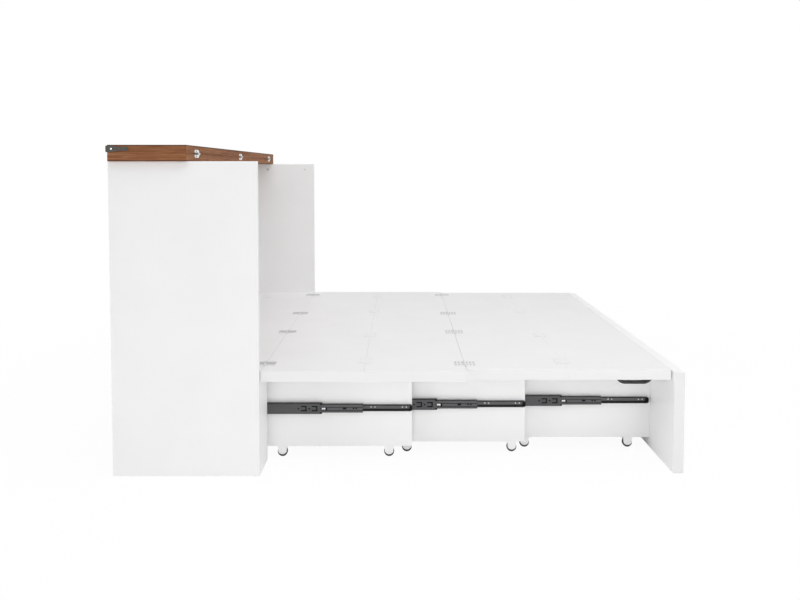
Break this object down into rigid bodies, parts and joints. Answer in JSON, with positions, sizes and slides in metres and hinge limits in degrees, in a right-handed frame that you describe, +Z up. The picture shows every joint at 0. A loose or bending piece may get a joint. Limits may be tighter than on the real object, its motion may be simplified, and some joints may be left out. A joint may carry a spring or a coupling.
{
  "type": "wall bed",
  "caption": "White cabinet wall bed with a brown flip top, a folding board platform and a base of nested boxes that roll out of the cabinet on telescopic slides.",
  "frame": {"origin": "on the floor, under the middle of the opened bed's bounding box", "axes": "+X from the wall to the foot of the bed, +Z up"},
  "size_m": [2.102, 1.649, 1.2135],
  "materials": {
    "white_board": "satin white laminate",
    "brown_board": "satin brown wood grain",
    "black_iron": "hammered black",
    "rivet": "pale dome",
    "slide_steel": "black zinc",
    "lid_hinge_metal": "pale nickel",
    "butt_hinge_metal": "grey satin",
    "plate_metal": "white enamel",
    "deck_plate_metal": "grey",
    "cap_plastic": "grey",
    "caster_plastic": "white",
    "wheel_rubber": "dark grey tread"
  },
  "bodies": {
    "cabinet": {"side_panel_left": "white_board", "side_panel_right": "white_board", "back_panel": "white_board", "wall_rail": "white_board", "deck_rear_board": "white_board", "deck_front_board": "white_board", "partition_left": "white_board", "partition_right": "white_board", "front_filler_left": "white_board", "front_filler_right": "white_board", "fitting_caps": "cap_plastic", "fixed_top_board": "brown_board", "lid_hinge_bodies": "lid_hinge_metal", "deck_joining_plates": "deck_plate_metal", "deck_hinge_fixed_leaves": "butt_hinge_metal", "slide_a_base_rails": "slide_steel"},
    "lid": {"lid_board": "brown_board", "lid_hinge_flaps": "lid_hinge_metal", "corner_straps": "black_iron", "strap_rivets": "rivet"},
    "inner_platform": {"platform_board_1": "white_board", "platform_board_2": "white_board", "inner_joining_plates": "plate_metal", "deck_hinge_moving_leaves": "butt_hinge_metal", "fold_hinge_inner_leaves": "butt_hinge_metal"},
    "outer_platform": {"platform_board_3": "white_board", "platform_board_4": "white_board", "outer_joining_plates": "plate_metal", "fold_hinge_outer_leaves": "butt_hinge_metal", "lift_handles": "black_iron"},
    "box_a": {"box_a_side_left": "white_board", "box_a_side_right": "white_board", "box_a_rear": "white_board", "box_a_caster_forks": "caster_plastic", "slide_a_runners": "slide_steel", "slide_b_base_rails": "slide_steel"},
    "slide_a_wide": {"slide_a_wide_rails": "slide_steel"},
    "slide_a_middle": {"slide_a_middle_rails": "slide_steel"},
    "box_a_front_wheels": {"box_a_front_wheels": "wheel_rubber"},
    "box_a_rear_wheels": {"box_a_rear_wheels": "wheel_rubber"},
    "box_b": {"box_b_side_left": "white_board", "box_b_side_right": "white_board", "box_b_rear": "white_board", "box_b_caster_forks": "caster_plastic", "slide_b_runners": "slide_steel", "slide_c_base_rails": "slide_steel"},
    "slide_b_wide": {"slide_b_wide_rails": "slide_steel"},
    "slide_b_middle": {"slide_b_middle_rails": "slide_steel"},
    "box_b_front_wheels": {"box_b_front_wheels": "wheel_rubber"},
    "box_b_rear_wheels": {"box_b_rear_wheels": "wheel_rubber"},
    "box_c": {"box_c_side_left": "white_board", "box_c_side_right": "white_board", "box_c_rear": "white_board", "box_c_caster_forks": "caster_plastic", "slide_c_runners": "slide_steel", "footboard": "white_board"},
    "slide_c_wide": {"slide_c_wide_rails": "slide_steel"},
    "slide_c_middle": {"slide_c_middle_rails": "slide_steel"},
    "box_c_front_wheels": {"box_c_front_wheels": "wheel_rubber"},
    "box_c_rear_wheels": {"box_c_rear_wheels": "wheel_rubber"}
  },
  "joints": [
    {"name": "lid_flip", "type": "hinge", "parent": "cabinet", "child": "lid", "pos_m": [-0.76075, 0, 1.18425], "axis": [0, 1, 0], "range_deg": [0, 180]},
    {"name": "base_slide", "type": "slide", "parent": "cabinet", "child": "box_a", "axis": [1, 0, 0], "range_m": [-0.529, 0]},
    {"name": "slide_a_wide_slide", "type": "slide", "parent": "cabinet", "child": "slide_a_wide", "axis": [1, 0, 0], "range_m": [-0.213, 0]},
    {"name": "slide_a_middle_slide", "type": "slide", "parent": "cabinet", "child": "slide_a_middle", "axis": [1, 0, 0], "range_m": [-0.373, 0]},
    {"name": "box_a_front_wheel_spin", "type": "hinge", "parent": "box_a", "child": "box_a_front_wheels", "pos_m": [-0.04, 0, 0.0195], "axis": [0, 1, 0], "continuous": true},
    {"name": "box_a_rear_wheel_spin", "type": "hinge", "parent": "box_a", "child": "box_a_rear_wheels", "pos_m": [-0.458, 0, 0.0195], "axis": [0, 1, 0], "continuous": true},
    {"name": "box_b_slide", "type": "slide", "parent": "box_a", "child": "box_b", "axis": [1, 0, 0], "range_m": [-0.4495, 0]},
    {"name": "slide_b_wide_slide", "type": "slide", "parent": "box_a", "child": "slide_b_wide", "axis": [1, 0, 0], "range_m": [-0.1225, 0]},
    {"name": "slide_b_middle_slide", "type": "slide", "parent": "box_a", "child": "slide_b_middle", "axis": [1, 0, 0], "range_m": [-0.2825, 0]},
    {"name": "box_b_front_wheel_spin", "type": "hinge", "parent": "box_b", "child": "box_b_front_wheels", "pos_m": [0.448, 0, 0.0195], "axis": [0, 1, 0], "continuous": true},
    {"name": "box_b_rear_wheel_spin", "type": "hinge", "parent": "box_b", "child": "box_b_rear_wheels", "pos_m": [0.03, 0, 0.0195], "axis": [0, 1, 0], "continuous": true},
    {"name": "box_c_slide", "type": "slide", "parent": "box_b", "child": "box_c", "axis": [1, 0, 0], "range_m": [-0.512, 0]},
    {"name": "slide_c_wide_slide", "type": "slide", "parent": "box_b", "child": "slide_c_wide", "axis": [1, 0, 0], "range_m": [-0.176, 0]},
    {"name": "slide_c_middle_slide", "type": "slide", "parent": "box_b", "child": "slide_c_middle", "axis": [1, 0, 0], "range_m": [-0.336, 0]},
    {"name": "box_c_front_wheel_spin", "type": "hinge", "parent": "box_c", "child": "box_c_front_wheels", "pos_m": [0.925, 0, 0.0195], "axis": [0, 1, 0], "continuous": true},
    {"name": "box_c_rear_wheel_spin", "type": "hinge", "parent": "box_c", "child": "box_c_rear_wheels", "pos_m": [0.507, 0, 0.0195], "axis": [0, 1, 0], "continuous": true},
    {"name": "inner_platform_fold", "type": "hinge", "parent": "cabinet", "child": "inner_platform", "pos_m": [-0.509, 0, 0.3885], "axis": [0, -1, 0], "range_deg": [0, 90]},
    {"name": "outer_platform_fold", "type": "hinge", "parent": "inner_platform", "child": "outer_platform", "pos_m": [0.249, 0, 0.3885], "axis": [0, -1, 0], "range_deg": [0, 180]}
  ],
  "couplings": [
    {"joint": "slide_a_wide_slide", "follows": "base_slide", "ratio": 0.40265},
    {"joint": "slide_a_middle_slide", "follows": "base_slide", "ratio": 0.7051},
    {"joint": "box_b_slide", "follows": "base_slide", "ratio": 0.84972},
    {"joint": "slide_b_wide_slide", "follows": "base_slide", "ratio": 0.23157},
    {"joint": "slide_b_middle_slide", "follows": "base_slide", "ratio": 0.53403},
    {"joint": "box_c_slide", "follows": "base_slide", "ratio": 0.96786},
    {"joint": "slide_c_wide_slide", "follows": "base_slide", "ratio": 0.3327},
    {"joint": "slide_c_middle_slide", "follows": "base_slide", "ratio": 0.63516},
    {"joint": "inner_platform_fold", "follows": "base_slide", "rad_per_m": -2.9693}
  ]
}
